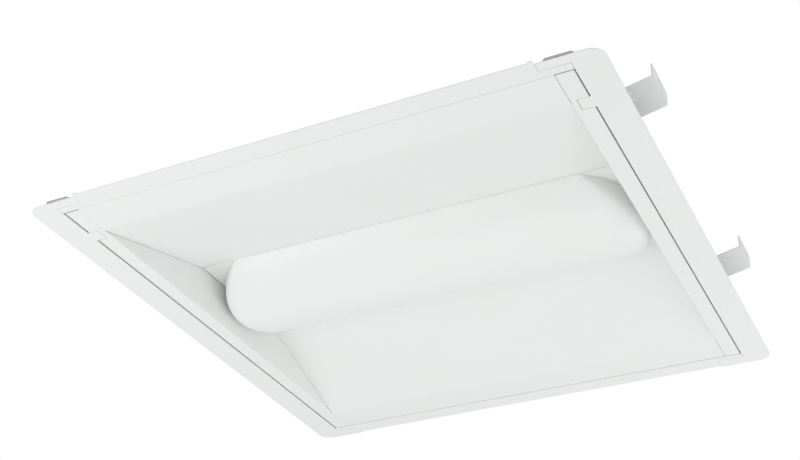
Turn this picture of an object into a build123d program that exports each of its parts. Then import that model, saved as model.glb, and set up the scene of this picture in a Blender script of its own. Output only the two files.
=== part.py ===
"""Recessed troffer light with a drop-down door, in millimetres.

+X runs along the lens, +Y across it and +Z up into the ceiling. The origin is the
centre of the ceiling opening, in the plane of the ceiling's face, where the back of the
flange rests. The room is below. Front is the -Y side, where the door is hinged.
"""

import os
from math import hypot, radians, tan

from build123d import *

# ---- Flange ---------------------------------------------------------------------------
flange_half_x = 320.0
flange_half_y = 326.0
trim_t = 1.2
side_trim_width = 32.0
edge_trim_width = 23.7
flange_corner_r = 15.0
arm_width = 14.0
arm_reach = 31.0
trim_joint_gap = 0.4
side_trim_offset = 3.0
edge_lug_length = 5.0
edge_lug_reach = 1.6

# ---- Door -----------------------------------------------------------------------------
sheet_t = 1.0
fold_r = 1.3
door_groove = 1.6
door_edge_gap = 0.8
door_strip_width = 18.4
band_width = 43.5
door_lip_height = 8.0
door_end_setback = 0.6
lens_edge_y = 84.0
lens_edge_z = 45.0
lens_seat_lip = 5.0
end_plate_lean = 6.0
door_joint_gap = 0.3

# ---- Tabs of the side trims in the notches of the door strips ---------------------------
tab_inset_y = 50.5
tab_width = 16.0
tab_length = 13.5
tab_gap = 0.5

# ---- Lens -----------------------------------------------------------------------------
lens_t = 1.5
lens_sag = 40.0
lens_nose_length = 46.0
lens_side_gap = 0.5
lens_flange = 4.5
lens_end_gap = 0.3
retainer_t = 0.8
retainer_leg = 4.0
retainer_gap = 0.4
retainer_inset = 14.0

# ---- Door corner plates -----------------------------------------------------------------
corner_plate_t = 1.0
corner_plate_margin = 2.0

# ---- Housing ----------------------------------------------------------------------------
pan_wall_gap = 1.7
pan_wall_height = 13.0
pan_ledge_width = 42.0
pan_roof_z = 52.0
pan_flange = 10.0
pan_flange_inset_x = 2.0
end_flange = 10.0
end_flange_inset_y = 19.0
engine_inset_x = 23.0
engine_margin_y = 15.0
engine_flange_margin = 1.0
engine_height = 32.0
engine_flange = 8.0
pan_hole_lip = 2.0

# ---- Light source -----------------------------------------------------------------------
board_end_gap = 14.0
board_width = 20.0
board_t = 1.6
board_y = 45.0
led_size = 3.0
led_t = 0.7
led_pitch = 18.8
connector_size = (12.0, 8.0, 4.0)
connector_inset = 12.0
board_screw_r = 1.5
board_screw_head_r = 3.0
board_screw_head_t = 1.8
board_screw_end_gap = 99.6
board_screw_offset_y = 6.5
screw_fit = 0.05

# ---- Driver and wiring compartment --------------------------------------------------------
cover_foot = 12.0
driver_end_gap = 9.0
driver_side_gap = 18.0
driver_head_gap = 5.0
driver_length = 230.0
driver_width = 60.0
driver_height = 26.0
driver_ear = 8.0
driver_ear_t = 1.5
driver_corner_r = 1.5
wiring_length = 45.0
terminal_length = 18.0
terminal_width = 34.0
terminal_height = 16.0
terminal_end_gap = 8.0
terminal_side_gap = 5.0
terminal_way_count = 3
terminal_way_r = 3.0
earth_end_gap = 18.0
inlet_bore_r = 7.5
inlet_neck_r = 11.0
inlet_rim_r = 14.0
inlet_rim_t = 2.0
inlet_neck_length = 8.0
grommet_end_gap = 38.0
grommet_bore_r = 5.0
grommet_neck_r = 7.0
grommet_rim_r = 9.0
grommet_rim_t = 1.5

# ---- Screws -----------------------------------------------------------------------------
screw_r = 1.7
screw_head_r = 3.4
screw_head_t = 2.2
trim_bite = 0.9
trim_screw_count = 4
side_screw_margin = 105.0
edge_screw_margin = 75.0
screw_tail = 3.0

# ---- Hinge and catches ----------------------------------------------------------------------
hinge_inset_y = 5.5
hinge_z = 4.0
hinge_pin_r = 1.6
hinge_fit = 0.05
hinge_pin_reach = 4.0
hinge_collar_r = 3.0
hinge_collar_gap = 0.3
hinge_head_r = 3.2
hinge_head_t = 1.5
catch_inset_x = 38.0
catch_inset_y = 21.0
stud_base_r = 4.0
stud_base_t = 1.0
stud_neck_r = 1.3
stud_ball_r = 2.2
stud_ball_height = 7.7
clip_gap = 0.35
clip_leaf_t = 0.6
clip_width = 10.0
clip_base_t = 0.8
clip_leaf_length = 8.0

# ---- Brackets -----------------------------------------------------------------------------
bracket_inset_y = 155.0
bracket_width = 51.0
bracket_t = 1.2
bracket_flat_z = 45.5
bracket_flat_length = 48.0
bracket_rise_length = 44.0
bracket_rise_angle = 12.5
bracket_tab_height = 16.5
bracket_tab_chamfer = 1.5
tab_slot_length = 17.0
tab_slot_width = 5.0
bracket_travel = 30.0
bracket_pilot_r = 1.2
bracket_pilot_reach = 18.0
bracket_pilot_offsets = (-15.0, -4.0)
seat_gap = 0.3
seat_t = 1.2
seat_length = 45.0
seat_foot_z = 14.0
seat_screw_z = 22.0
seat_screw_offset_y = 12.0
clamp_inset = 10.0
clamp_r = 2.0
clamp_head_r = 3.9
clamp_head_t = 2.8
clamp_nut_r = 3.8
clamp_nut_t = 2.5
clamp_slot_fit = 0.4

# ---- Corner splices -------------------------------------------------------------------------
splice_t = 1.5
splice_end_gap = 5.0
splice_reach = 9.0
splice_wall_gap = 1.0
splice_overhang = 1.5
splice_chamfer = 5.0
splice_screw_inset = 5.0

# ---- Derived levels and edges ---------------------------------------------------------------
face_z = -trim_t
side_trim_inner_x = flange_half_x - side_trim_width
edge_trim_inner_y = flange_half_y - edge_trim_width
door_half_x = side_trim_inner_x - door_groove
door_half_y = edge_trim_inner_y - door_edge_gap
strip_inner_x = door_half_x - door_strip_width
crease_y = door_half_y - band_width
arm_inner_x = side_trim_inner_x - arm_reach
arm_inner_y = flange_half_y - arm_width
edge_lug_x = arm_inner_x - trim_joint_gap - edge_lug_length / 2
reflector_slope = (lens_edge_z - face_z) / (crease_y - lens_edge_y)
end_plate_slope = end_plate_lean / (lens_edge_z - face_z)
door_back_z = face_z + sheet_t
lip_top_z = face_z + door_lip_height
lens_lip_top_z = lens_edge_z + lens_seat_lip
pan_wall_y = edge_trim_inner_y + pan_wall_gap
pan_half_x = side_trim_inner_x + sheet_t
pan_ledge_y = pan_wall_y - pan_ledge_width
pan_flange_half_x = arm_inner_x - pan_flange_inset_x
end_flange_half_y = pan_wall_y - end_flange_inset_y
engine_half_x = side_trim_inner_x - engine_inset_x
engine_half_y = lens_edge_y + engine_margin_y
pan_roof_half_y = engine_half_y + engine_flange + engine_flange_margin
pan_roof_top_z = pan_roof_z + sheet_t
engine_top_z = pan_roof_top_z + engine_height
engine_ceiling_z = engine_top_z - sheet_t
board_z = engine_ceiling_z - board_t
board_length = 2 * (engine_half_x - sheet_t - board_end_gap)
led_count = int(board_length / led_pitch)
board_screw_pitch = board_length / 2 - board_screw_end_gap
cover_half_x = (driver_end_gap + driver_length + 2 * driver_ear + wiring_length) / 2
cover_half_y = driver_width / 2 + driver_side_gap
cover_height = driver_height + driver_head_gap + sheet_t
driver_x = driver_end_gap + driver_ear + driver_length / 2 - cover_half_x
terminal_x = cover_half_x - terminal_end_gap - terminal_length / 2
terminal_y = terminal_side_gap + terminal_width / 2 - cover_half_y
earth_x = cover_half_x - earth_end_gap
lead_y = cover_half_y / 2
inlet_z = engine_top_z + cover_height / 2
grommet_x = cover_half_x - grommet_end_gap
hinge_y = hinge_inset_y - door_half_y
tab_y = tab_inset_y - door_half_y
catch_x = strip_inner_x - catch_inset_x
bracket_y = flange_half_y - bracket_inset_y
bracket_bend_x = side_trim_inner_x
bracket_inner_x = bracket_bend_x - bracket_flat_length
bracket_outer_x = bracket_bend_x + bracket_rise_length
bracket_pilot_x = bracket_bend_x + bracket_pilot_reach
clamp_x = bracket_inner_x + clamp_inset
seat_inner_x = pan_half_x - seat_length
splice_inner_x = arm_inner_x + splice_end_gap
splice_outer_x = side_trim_inner_x + splice_reach
splice_inner_y = pan_wall_y + sheet_t + splice_wall_gap
splice_outer_y = flange_half_y - side_trim_offset + splice_overhang
bracket_slope = tan(radians(bracket_rise_angle))
seat_top_z = bracket_flat_z - seat_gap
screw_hole_r = screw_r + screw_fit
catch_y = door_half_y - catch_inset_y
SIDES = (("left", -1), ("right", 1))
EDGES = (("front", -1), ("rear", 1))


def end_plate_x(z):
    """Distance from the centre of an end plate's room face at a height."""
    return strip_inner_x - end_plate_slope * (z - face_z)


def bracket_plate_z(x):
    """Height of the underside of a bracket's plate at a distance from the centre."""
    return bracket_flat_z + max(0.0, x - bracket_bend_x) * bracket_slope


splice_holes = (
    (splice_inner_x + splice_screw_inset, arm_inner_y + splice_screw_inset),
    (side_trim_inner_x - arm_width / 2, (splice_inner_y + arm_inner_y) / 2),
    (splice_outer_x - splice_screw_inset, arm_inner_y + splice_screw_inset),
)
screw_spread = [2 * i / (trim_screw_count - 1) - 1 for i in range(trim_screw_count)]
edge_screw_xs = [(pan_flange_half_x - edge_screw_margin) * s for s in screw_spread]
edge_screw_y = pan_wall_y + sheet_t + pan_flange / 2
side_screw_ys = [(end_flange_half_y - side_screw_margin) * s for s in screw_spread]
side_screw_x = pan_half_x + end_flange / 2
bite_z = face_z + trim_t - trim_bite

os.makedirs("parts", exist_ok=True)

# ======================================================================================
# Flange: two C-shaped side trims, two edge trims between their arms, four splices
# ======================================================================================
for side, sx in SIDES:
    with BuildPart() as side_trim:
        with BuildSketch(Plane.XY.offset(face_z)):
            with Locations((sx * (side_trim_inner_x + flange_half_x) / 2, side_trim_offset)):
                Rectangle(side_trim_width, 2 * flange_half_y)
            for _, sy in EDGES:
                arm_outer_y = flange_half_y + sy * side_trim_offset
                with Locations((sx * (side_trim_inner_x - arm_reach / 2), sy * (arm_inner_y + arm_outer_y) / 2)):
                    Rectangle(arm_reach, arm_outer_y - arm_inner_y)
            with Locations((sx * (side_trim_inner_x - tab_length / 2), tab_y)):
                Rectangle(tab_length, tab_width)
            outer = [v for v in vertices() if abs(v.X) > flange_half_x - trim_joint_gap]
            fillet(outer, flange_corner_r)
        extrude(amount=trim_t)
        with Locations([(sx * x, sy * y, bite_z) for x, y in (splice_holes[0], splice_holes[2])
                        for _, sy in EDGES]):
            Cylinder(screw_hole_r, trim_bite, align=(Align.CENTER, Align.CENTER, Align.MIN), mode=Mode.SUBTRACT)
        with Locations([(sx * side_screw_x, y, bite_z) for y in side_screw_ys]):
            Cylinder(screw_hole_r, trim_bite, align=(Align.CENTER, Align.CENTER, Align.MIN), mode=Mode.SUBTRACT)
    side_trim.part.label = f"side_trim_{side}"
    export_step(side_trim.part, f"parts/side_trim_{side}.step")

for edge, sy in EDGES:
    with BuildPart() as edge_trim:
        with BuildSketch(Plane.XY.offset(face_z)):
            with Locations((0, sy * (edge_trim_inner_y + flange_half_y) / 2)):
                Rectangle(2 * (arm_inner_x - trim_joint_gap), flange_half_y - edge_trim_inner_y)
            with Locations((0, sy * (edge_trim_inner_y + arm_inner_y - trim_joint_gap) / 2)):
                Rectangle(2 * (side_trim_inner_x - trim_joint_gap),
                          arm_inner_y - trim_joint_gap - edge_trim_inner_y)
            if edge == "front":
                with Locations([(sx * edge_lug_x, -flange_half_y - edge_lug_reach / 2) for _, sx in SIDES]):
                    Rectangle(edge_lug_length, edge_lug_reach)
        extrude(amount=trim_t)
        with Locations([(sx * splice_holes[1][0], sy * splice_holes[1][1], bite_z) for _, sx in SIDES]):
            Cylinder(screw_hole_r, trim_bite, align=(Align.CENTER, Align.CENTER, Align.MIN), mode=Mode.SUBTRACT)
        with Locations([(x, sy * edge_screw_y, bite_z) for x in edge_screw_xs]):
            Cylinder(screw_hole_r, trim_bite, align=(Align.CENTER, Align.CENTER, Align.MIN), mode=Mode.SUBTRACT)
    edge_trim.part.label = f"edge_trim_{edge}"
    export_step(edge_trim.part, f"parts/edge_trim_{edge}.step")

for side, sx in SIDES:
    for edge, sy in EDGES:
        with BuildPart() as splice:
            with BuildSketch():
                with Locations((sx * (splice_inner_x + splice_outer_x) / 2,
                                sy * (splice_inner_y + splice_outer_y) / 2)):
                    Rectangle(splice_outer_x - splice_inner_x, splice_outer_y - splice_inner_y)
                chamfer(vertices().group_by(Axis.Y)[0 if sy < 0 else -1], splice_chamfer)
            extrude(amount=splice_t)
            with Locations([(sx * x, sy * y) for x, y in splice_holes]):
                Cylinder(screw_hole_r, 3 * splice_t, mode=Mode.SUBTRACT)
        splice.part.label = f"corner_splice_{edge}_{side}"
        export_step(splice.part, f"parts/corner_splice_{edge}_{side}.step")

with BuildPart() as splice_screws:
    with Locations([(sx * x, sy * y, 0) for x, y in splice_holes for _, sx in SIDES for _, sy in EDGES]):
        with Locations((0, 0, bite_z)):
            Cylinder(screw_r, trim_bite + splice_t, align=(Align.CENTER, Align.CENTER, Align.MIN))
        with Locations((0, 0, splice_t)):
            Cylinder(screw_head_r, screw_head_t, align=(Align.CENTER, Align.CENTER, Align.MIN))
splice_screws.part.label = "splice_screws"
export_step(splice_screws.part, "parts/splice_screws.step")

# ======================================================================================
# Housing: pan, ends and the raised engine housing
# ======================================================================================
pan_line = [
    (pan_wall_y + sheet_t + pan_flange, 0),
    (pan_wall_y, 0),
    (pan_wall_y, pan_wall_height),
    (pan_ledge_y, pan_wall_height),
    (pan_roof_half_y, pan_roof_z),
]
pan_hole_half_x = engine_half_x - sheet_t
pan_hole_half_y = engine_half_y - sheet_t - pan_hole_lip
with BuildPart() as housing_pan:
    with BuildSketch(Plane.YZ):
        with BuildLine():
            Polyline(*pan_line, *[(-y, z) for y, z in reversed(pan_line)])
            offset(amount=sheet_t, side=Side.RIGHT)
        make_face()
    extrude(amount=pan_half_x, both=True)
    flange_span = pan_half_x - pan_flange_half_x
    with Locations([(sx * (pan_flange_half_x + flange_span / 2), sy * (pan_wall_y + sheet_t + pan_flange / 2), 0)
                    for _, sx in SIDES for _, sy in EDGES]):
        Box(flange_span, pan_flange, 3 * sheet_t, mode=Mode.SUBTRACT)
    with Locations((0, 0, pan_roof_z)):
        Box(2 * pan_hole_half_x, 2 * pan_hole_half_y, 3 * sheet_t, mode=Mode.SUBTRACT)
    with Locations([(x, sy * edge_screw_y, 0) for x in edge_screw_xs for _, sy in EDGES]):
        Cylinder(screw_hole_r, 3 * sheet_t, mode=Mode.SUBTRACT)
housing_pan.part.label = "housing_pan"
export_step(housing_pan.part, "parts/housing_pan.step")

end_outline = pan_line[1:]
for side, sx in SIDES:
    with BuildPart() as housing_end:
        with BuildSketch(Plane.YZ.offset(sx * (side_trim_inner_x + sheet_t / 2))):
            Polygon(*end_outline, *[(-y, z) for y, z in reversed(end_outline)], align=None)
        extrude(amount=sheet_t / 2, both=True)
        with BuildSketch():
            with Locations((sx * (side_trim_inner_x + (sheet_t + end_flange) / 2), 0)):
                Rectangle(sheet_t + end_flange, 2 * end_flange_half_y)
        extrude(amount=sheet_t)
        with Locations([(sx * side_screw_x, y, 0) for y in side_screw_ys]):
            Cylinder(screw_hole_r, 3 * sheet_t, mode=Mode.SUBTRACT)
        with Locations((sx * side_trim_inner_x, hinge_y, hinge_z)):
            Cylinder(hinge_pin_r, 4 * sheet_t, rotation=(0, 90, 0), mode=Mode.SUBTRACT)
        with Locations([(sx * side_trim_inner_x, sy * bracket_y + dy, seat_screw_z)
                        for _, sy in EDGES for dy in (-seat_screw_offset_y, seat_screw_offset_y)]):
            Cylinder(screw_hole_r, 4 * sheet_t, rotation=(0, 90, 0), mode=Mode.SUBTRACT)
    housing_end.part.label = f"housing_end_{side}"
    export_step(housing_end.part, f"parts/housing_end_{side}.step")

cover_screw_points = [(sx * (cover_half_x + sheet_t + cover_foot / 2), sy * cover_half_y / 2)
                      for _, sx in SIDES for _, sy in EDGES]
driver_screw_points = [(driver_x + sx * (driver_length + driver_ear) / 2, 0) for _, sx in SIDES]
board_screw_points = [(board_screw_pitch * i, sy * (board_y + board_screw_offset_y))
                      for i in (-1, 0, 1) for _, sy in EDGES]
with BuildPart() as engine_housing:
    with BuildSketch(Plane.XY.offset(pan_roof_top_z)):
        Rectangle(2 * (engine_half_x + engine_flange), 2 * (engine_half_y + engine_flange))
    extrude(amount=sheet_t)
    with BuildSketch(Plane.XY.offset(pan_roof_top_z)):
        Rectangle(2 * engine_half_x, 2 * engine_half_y)
    extrude(amount=engine_height)
    with BuildSketch(Plane.XY.offset(pan_roof_top_z)):
        Rectangle(2 * (engine_half_x - sheet_t), 2 * (engine_half_y - sheet_t))
    extrude(amount=engine_height - sheet_t, mode=Mode.SUBTRACT)
    with Locations([(x, y, engine_top_z) for x, y in cover_screw_points + driver_screw_points]):
        Cylinder(screw_hole_r, 3 * sheet_t, mode=Mode.SUBTRACT)
    with Locations([(x, y, engine_top_z) for x, y in board_screw_points]):
        Cylinder(board_screw_r + screw_fit, 3 * sheet_t, mode=Mode.SUBTRACT)
    with Locations((earth_x, lead_y, engine_top_z)):
        Cylinder(screw_hole_r, 3 * sheet_t, mode=Mode.SUBTRACT)
    with Locations((grommet_x, lead_y, engine_top_z)):
        Cylinder(grommet_neck_r, 3 * sheet_t, mode=Mode.SUBTRACT)
engine_housing.part.label = "engine_housing"
export_step(engine_housing.part, "parts/engine_housing.step")

with BuildPart() as trim_screws:
    edge_points = [(x, sy * edge_screw_y) for x in edge_screw_xs for _, sy in EDGES]
    side_points = [(sx * side_screw_x, y) for y in side_screw_ys for _, sx in SIDES]
    with Locations([(x, y, bite_z) for x, y in edge_points + side_points]):
        Cylinder(screw_r, trim_bite + sheet_t, align=(Align.CENTER, Align.CENTER, Align.MIN))
    with Locations([(x, y, sheet_t) for x, y in edge_points + side_points]):
        Cylinder(screw_head_r, screw_head_t, align=(Align.CENTER, Align.CENTER, Align.MIN))
trim_screws.part.label = "trim_screws"
export_step(trim_screws.part, "parts/trim_screws.step")

# ======================================================================================
# Light source: two boards under the engine housing's roof
# ======================================================================================
for edge, sy in EDGES:
    with BuildPart() as led_board:
        with Locations((0, sy * board_y, board_z)):
            Box(board_length, board_width, board_t, align=(Align.CENTER, Align.CENTER, Align.MIN))
        with Locations([(x, y, board_z) for x, y in board_screw_points if y * sy > 0]):
            Cylinder(board_screw_r + screw_fit, 3 * board_t, mode=Mode.SUBTRACT)
    led_board.part.label = f"led_board_{edge}"
    export_step(led_board.part, f"parts/led_board_{edge}.step")

    with BuildPart() as leds:
        with Locations([(led_pitch * (i - (led_count - 1) / 2), sy * board_y, board_z) for i in range(led_count)]):
            Box(led_size, led_size, led_t, align=(Align.CENTER, Align.CENTER, Align.MAX))
    leds.part.label = f"leds_{edge}"
    export_step(leds.part, f"parts/leds_{edge}.step")

connector_x = board_length / 2 - connector_inset
connector_y = board_y - board_width / 2 + connector_size[1] / 2
with BuildPart() as board_connectors:
    with Locations([(connector_x, sy * connector_y, board_z) for _, sy in EDGES]):
        Box(*connector_size, align=(Align.CENTER, Align.CENTER, Align.MAX))
board_connectors.part.label = "board_connectors"
export_step(board_connectors.part, "parts/board_connectors.step")

with BuildPart() as board_screws:
    with Locations([(x, y, board_z) for x, y in board_screw_points]):
        Cylinder(board_screw_head_r, board_screw_head_t, align=(Align.CENTER, Align.CENTER, Align.MAX))
        Cylinder(board_screw_r, board_t + sheet_t, align=(Align.CENTER, Align.CENTER, Align.MIN))
board_screws.part.label = "board_screws"
export_step(board_screws.part, "parts/board_screws.step")

# ======================================================================================
# Driver and wiring compartment on top
# ======================================================================================
with BuildPart() as led_driver:
    with BuildSketch(Plane.XY.offset(engine_top_z)):
        with Locations((driver_x, 0)):
            Rectangle(driver_length, driver_width)
    extrude(amount=driver_height)
    fillet(edges().filter_by(Axis.Z), driver_corner_r)
    with BuildSketch(Plane.XY.offset(engine_top_z)):
        with Locations((driver_x, 0)):
            Rectangle(driver_length + 2 * driver_ear, driver_width / 2)
    extrude(amount=driver_ear_t)
    with Locations([(x, y, engine_top_z) for x, y in driver_screw_points]):
        Cylinder(screw_hole_r, 3 * driver_ear_t, mode=Mode.SUBTRACT)
led_driver.part.label = "led_driver"
export_step(led_driver.part, "parts/led_driver.step")

with BuildPart() as driver_screws:
    with Locations([(x, y, engine_top_z + driver_ear_t) for x, y in driver_screw_points]):
        Cylinder(screw_head_r, screw_head_t, align=(Align.CENTER, Align.CENTER, Align.MIN))
        Cylinder(screw_r, driver_ear_t + screw_tail, align=(Align.CENTER, Align.CENTER, Align.MAX))
driver_screws.part.label = "driver_screws"
export_step(driver_screws.part, "parts/driver_screws.step")

with BuildPart() as driver_cover:
    with BuildSketch(Plane.XY.offset(engine_top_z)):
        Rectangle(2 * (cover_half_x + sheet_t), 2 * (cover_half_y + sheet_t))
    extrude(amount=cover_height)
    with BuildSketch(Plane.XY.offset(engine_top_z)):
        Rectangle(2 * (cover_half_x + sheet_t + cover_foot), 2 * (cover_half_y + sheet_t))
    extrude(amount=sheet_t)
    with BuildSketch(Plane.XY.offset(engine_top_z)):
        Rectangle(2 * cover_half_x, 2 * cover_half_y)
    extrude(amount=cover_height - sheet_t, mode=Mode.SUBTRACT)
    with Locations([(x, y, engine_top_z) for x, y in cover_screw_points]):
        Cylinder(screw_hole_r, 3 * sheet_t, mode=Mode.SUBTRACT)
    with Locations((cover_half_x, 0, inlet_z)):
        Cylinder(inlet_neck_r, 4 * sheet_t, rotation=(0, 90, 0), mode=Mode.SUBTRACT)
driver_cover.part.label = "driver_cover"
export_step(driver_cover.part, "parts/driver_cover.step")

with BuildPart() as cover_screws:
    with Locations([(x, y, engine_top_z + sheet_t) for x, y in cover_screw_points]):
        Cylinder(screw_head_r, screw_head_t, align=(Align.CENTER, Align.CENTER, Align.MIN))
        Cylinder(screw_r, sheet_t + screw_tail, align=(Align.CENTER, Align.CENTER, Align.MAX))
cover_screws.part.label = "cover_screws"
export_step(cover_screws.part, "parts/cover_screws.step")

with BuildPart() as terminal_block:
    with Locations((terminal_x, terminal_y, engine_top_z)):
        Box(terminal_length, terminal_width, terminal_height, align=(Align.CENTER, Align.CENTER, Align.MIN))
    way_pitch = terminal_width / terminal_way_count
    with Locations([(terminal_x + terminal_length / 2, terminal_y + way_pitch * (i - (terminal_way_count - 1) / 2),
                     engine_top_z + terminal_height / 2) for i in range(terminal_way_count)]):
        Cylinder(terminal_way_r, terminal_length, rotation=(0, 90, 0), mode=Mode.SUBTRACT)
terminal_block.part.label = "terminal_block"
export_step(terminal_block.part, "parts/terminal_block.step")

with BuildPart() as earth_screw:
    with Locations((earth_x, lead_y, engine_top_z)):
        Cylinder(screw_head_r, screw_head_t, align=(Align.CENTER, Align.CENTER, Align.MIN))
        Cylinder(screw_r, screw_tail, align=(Align.CENTER, Align.CENTER, Align.MAX))
earth_screw.part.label = "earth_screw"
export_step(earth_screw.part, "parts/earth_screw.step")

with BuildPart() as inlet_bushing:
    with BuildSketch(Plane.YZ.offset(cover_half_x + sheet_t)):
        with Locations((0, inlet_z)):
            Circle(inlet_rim_r)
    extrude(amount=inlet_rim_t)
    with BuildSketch(Plane.YZ.offset(cover_half_x + sheet_t)):
        with Locations((0, inlet_z)):
            Circle(inlet_neck_r)
    extrude(amount=inlet_rim_t - inlet_neck_length)
    with BuildSketch(Plane.YZ.offset(cover_half_x + sheet_t + inlet_rim_t)):
        with Locations((0, inlet_z)):
            Circle(inlet_bore_r)
    extrude(amount=-inlet_neck_length, mode=Mode.SUBTRACT)
inlet_bushing.part.label = "inlet_bushing"
export_step(inlet_bushing.part, "parts/inlet_bushing.step")

with BuildPart() as lead_grommet:
    with Locations((grommet_x, lead_y, engine_top_z)):
        Cylinder(grommet_rim_r, grommet_rim_t, align=(Align.CENTER, Align.CENTER, Align.MIN))
        Cylinder(grommet_neck_r, sheet_t, align=(Align.CENTER, Align.CENTER, Align.MAX))
        Cylinder(grommet_bore_r, 4 * grommet_rim_t, mode=Mode.SUBTRACT)
lead_grommet.part.label = "lead_grommet"
export_step(lead_grommet.part, "parts/lead_grommet.step")

# ======================================================================================
# Hinge pins and catch clips, fixed to the housing
# ======================================================================================
for side, sx in SIDES:
    with BuildPart() as hinge_pin:
        with BuildSketch(Plane.YZ.offset(sx * (door_half_x - hinge_pin_reach))):
            with Locations((hinge_y, hinge_z)):
                Circle(hinge_pin_r)
        extrude(amount=sx * (hinge_pin_reach + door_groove + sheet_t))
        with BuildSketch(Plane.YZ.offset(sx * (door_half_x + hinge_collar_gap))):
            with Locations((hinge_y, hinge_z)):
                Circle(hinge_collar_r)
        extrude(amount=sx * (door_groove - hinge_collar_gap))
        with BuildSketch(Plane.YZ.offset(sx * pan_half_x)):
            with Locations((hinge_y, hinge_z)):
                Circle(hinge_head_r)
        extrude(amount=sx * hinge_head_t)
    hinge_pin.part.label = f"hinge_pin_{side}"
    export_step(hinge_pin.part, f"parts/hinge_pin_{side}.step")

    clip_half_gap = stud_ball_r + clip_gap
    with BuildPart() as catch_clip:
        with BuildSketch(Plane.XY.offset(pan_wall_height)):
            with Locations((sx * catch_x, catch_y)):
                Rectangle(2 * (clip_half_gap + clip_leaf_t), clip_width)
        extrude(amount=-clip_base_t)
        with BuildSketch(Plane.XY.offset(pan_wall_height - clip_base_t)):
            with Locations([(sx * catch_x + s * (clip_half_gap + clip_leaf_t / 2), catch_y) for _, s in SIDES]):
                Rectangle(clip_leaf_t, clip_width)
        extrude(amount=-clip_leaf_length)
    catch_clip.part.label = f"catch_clip_{side}"
    export_step(catch_clip.part, f"parts/catch_clip_{side}.step")

# ======================================================================================
# Door: reflectors, ends, lens and what holds them together
# ======================================================================================
for edge, sy in EDGES:
    with BuildPart() as reflector:
        with BuildSketch(Plane.YZ):
            with BuildLine():
                FilletPolyline(
                    (sy * door_half_y, lip_top_z),
                    (sy * door_half_y, face_z),
                    (sy * crease_y, face_z),
                    (sy * lens_edge_y, lens_edge_z),
                    (sy * lens_edge_y, lens_lip_top_z),
                    radius=fold_r,
                )
                offset(amount=sheet_t, side=Side.RIGHT if sy > 0 else Side.LEFT)
            make_face()
        extrude(amount=strip_inner_x - door_joint_gap, both=True)
    reflector.part.label = f"reflector_{edge}"
    export_step(reflector.part, f"parts/reflector_{edge}.step")

notch_inner_x = side_trim_inner_x - tab_length - tab_gap
end_plate_top_z = lens_lip_top_z - 2 * sheet_t
plate_half_y = crease_y - door_joint_gap * hypot(1, reflector_slope) / reflector_slope
plate_top_y = lens_edge_y - door_joint_gap
plate_side_z = face_z + (plate_half_y - plate_top_y) * reflector_slope
for side, sx in SIDES:
    with BuildPart() as door_end:
        with BuildSketch(Plane.XZ):
            with BuildLine():
                FilletPolyline(
                    (sx * end_plate_x(end_plate_top_z), end_plate_top_z),
                    (sx * strip_inner_x, face_z),
                    (sx * door_half_x, face_z),
                    (sx * door_half_x, lip_top_z),
                    radius=fold_r,
                )
                offset(amount=sheet_t, side=Side.LEFT if sx > 0 else Side.RIGHT)
            make_face()
        extrude(amount=door_half_y - door_end_setback, both=True)
        with BuildSketch(Plane.YZ):
            with Locations((0, (door_back_z + lens_lip_top_z) / 2)):
                Rectangle(2 * door_half_y + sheet_t, lens_lip_top_z - door_back_z)
            Polygon((-plate_half_y, face_z), (plate_half_y, face_z), (plate_top_y, plate_side_z),
                    (plate_top_y, lens_lip_top_z), (-plate_top_y, lens_lip_top_z), (-plate_top_y, plate_side_z),
                    align=None, mode=Mode.SUBTRACT)
        extrude(amount=sx * (strip_inner_x + fold_r + 2 * sheet_t), mode=Mode.SUBTRACT)
        with Locations((sx * (notch_inner_x + door_half_x) / 2, tab_y, 0)):
            Box(door_half_x - notch_inner_x, tab_width + 2 * tab_gap, 4 * door_lip_height, mode=Mode.SUBTRACT)
        with Locations((sx * door_half_x, hinge_y, hinge_z)):
            Cylinder(hinge_pin_r + hinge_fit, 4 * sheet_t, rotation=(0, 90, 0), mode=Mode.SUBTRACT)
    door_end.part.label = f"door_end_{side}"
    export_step(door_end.part, f"parts/door_end_{side}.step")

lens_half_y = lens_edge_y - lens_side_gap
lens_end_x = end_plate_x(lens_lip_top_z + lens_t) - lens_end_gap
lens_straight_x = lens_end_x - lens_nose_length


def lens_bulge(half_y, nose_length):
    """Solid that hangs from z = 0: an arched middle with a rounded nose at each end."""
    with BuildSketch(Plane.YZ) as section:
        with BuildLine():
            ThreePointArc((half_y, 0), (0, -lens_sag), (-half_y, 0))
            Line((-half_y, 0), (half_y, 0))
        make_face()
    with BuildPart() as nose:
        revolve(section.sketch, axis=Axis.Y, revolution_arc=-90)
        scale(by=(nose_length / lens_sag, 1, 1))
    with BuildPart() as bulge:
        extrude(section.sketch, amount=lens_straight_x, both=True)
        with Locations((lens_straight_x, 0, 0)):
            add(nose.part)
        mirror(about=Plane.YZ)
    return bulge.part


with BuildPart() as lens:
    with BuildSketch(Plane.XY.offset(lens_edge_z)):
        Rectangle(2 * lens_end_x, 2 * lens_half_y)
    extrude(amount=lens_seat_lip)
    with BuildSketch(Plane.XY.offset(lens_lip_top_z)):
        Rectangle(2 * lens_end_x, 2 * (lens_edge_y + lens_flange))
    extrude(amount=lens_t)
    with Locations((0, 0, lens_edge_z)):
        add(lens_bulge(lens_half_y, lens_nose_length))
    with BuildSketch(Plane.XY.offset(lens_edge_z + lens_t)):
        Rectangle(2 * (lens_end_x - lens_t), 2 * (lens_half_y - lens_t))
    extrude(amount=lens_seat_lip, mode=Mode.SUBTRACT)
    with Locations((0, 0, lens_edge_z + lens_t)):
        add(lens_bulge(lens_half_y - lens_t, lens_nose_length - lens_t), mode=Mode.SUBTRACT)
lens.part.label = "lens"
export_step(lens.part, "parts/lens.step")

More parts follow.
